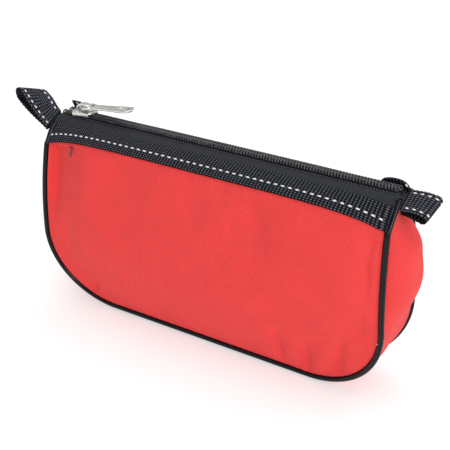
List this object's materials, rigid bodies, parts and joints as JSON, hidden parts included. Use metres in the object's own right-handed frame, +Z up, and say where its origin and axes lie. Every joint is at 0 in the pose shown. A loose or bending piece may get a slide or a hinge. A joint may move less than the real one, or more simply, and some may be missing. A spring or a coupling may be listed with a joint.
{
  "type": "first aid kit",
  "caption": "Soft first aid pouch in red polyester with black piping, webbing lips, a coil zip along the top, a webbing loop at each end and packed dressings inside.",
  "frame": {"origin": "middle of the flat base on which the pouch stands, under the middle of the zip", "axes": "+X along the zip, the way the slider runs to open it; -Y towards the front panel; +Z up"},
  "size_m": [0.2467, 0.0572, 0.1203],
  "materials": {
    "red_polyester": "coated polyester in a fine diagonal twill",
    "black_pvc": "soft glossy PVC cord",
    "black_webbing": "ribbed webbing with a white stitched line",
    "zip_tape": "smooth woven tape",
    "nylon_coil": "satin nylon monofilament",
    "nickel": "nickel plated die casting",
    "spring_steel": "fine brushed",
    "gauze_sachet": "matt sealed paper",
    "plaster_carton": "matt board",
    "foil_sachet": "foil lined paper",
    "crepe_cotton": "crepe weave",
    "zinc_tape": "cotton tape edge",
    "tape_core": "moulded ring"
  },
  "bodies": {
    "pouch": {"front_panel": "red_polyester", "back_panel": "red_polyester", "gusset": "red_polyester", "front_piping": "black_pvc", "back_piping": "black_pvc", "gauze_pack_1": "gauze_sachet", "gauze_pack_2": "gauze_sachet", "plaster_pack": "plaster_carton", "wipe_sachet_1": "foil_sachet", "wipe_sachet_2": "foil_sachet", "roller_bandage_large": "crepe_cotton", "roller_bandage_small": "crepe_cotton", "tape_roll": "zinc_tape", "tape_core": "tape_core", "tweezers": "spring_steel"},
    "front_lip": {"front_band": "black_webbing", "front_zip_tape": "zip_tape", "front_coil": "nylon_coil"},
    "back_lip": {"back_band": "black_webbing", "back_zip_tape": "zip_tape", "back_coil": "nylon_coil"},
    "slider": {"slider_body": "nickel", "slider_bridge": "nickel", "lock_spring": "spring_steel"},
    "pull_tab": {"puller": "nickel"},
    "left_webbing": {"left_loop": "black_webbing"},
    "right_webbing": {"right_loop": "black_webbing"}
  },
  "joints": [
    {"name": "slider_travel", "type": "slide", "parent": "pouch", "child": "slider", "axis": [1, 0, 0], "range_m": [0, 0.165], "deforming": ["front_coil", "back_coil", "front_zip_tape", "back_zip_tape"]},
    {"name": "puller_swing", "type": "hinge", "parent": "slider", "child": "pull_tab", "pos_m": [-0.086, 0, 0.11405], "axis": [0, -1, 0], "range_deg": [0, 130]},
    {"name": "front_lip_tilt", "type": "hinge", "parent": "pouch", "child": "front_lip", "pos_m": [0, -0.023, 0.1025], "axis": [1, 0, 0], "range_deg": [0, 50]},
    {"name": "back_lip_tilt", "type": "hinge", "parent": "pouch", "child": "back_lip", "pos_m": [0, 0.02, 0.0955], "axis": [-1, 0, 0], "range_deg": [0, 50]},
    {"name": "left_loop_flex", "type": "hinge", "parent": "pouch", "child": "left_webbing", "pos_m": [-0.1033, -0.0065, 0.1048], "axis": [0, 0.9023, 0.4311], "range_deg": [-60, 15], "stiffness_Nm_per_rad": 0.005},
    {"name": "right_loop_flex", "type": "hinge", "parent": "pouch", "child": "right_webbing", "pos_m": [0.1026, -0.0035, 0.1058], "axis": [0, -0.9023, -0.4311], "range_deg": [-60, 15], "stiffness_Nm_per_rad": 0.005}
  ],
  "couplings": [
    {"joint": "front_lip_tilt", "follows": "slider_travel", "rad_per_m": 5.25},
    {"joint": "back_lip_tilt", "follows": "slider_travel", "rad_per_m": 5.25}
  ]
}
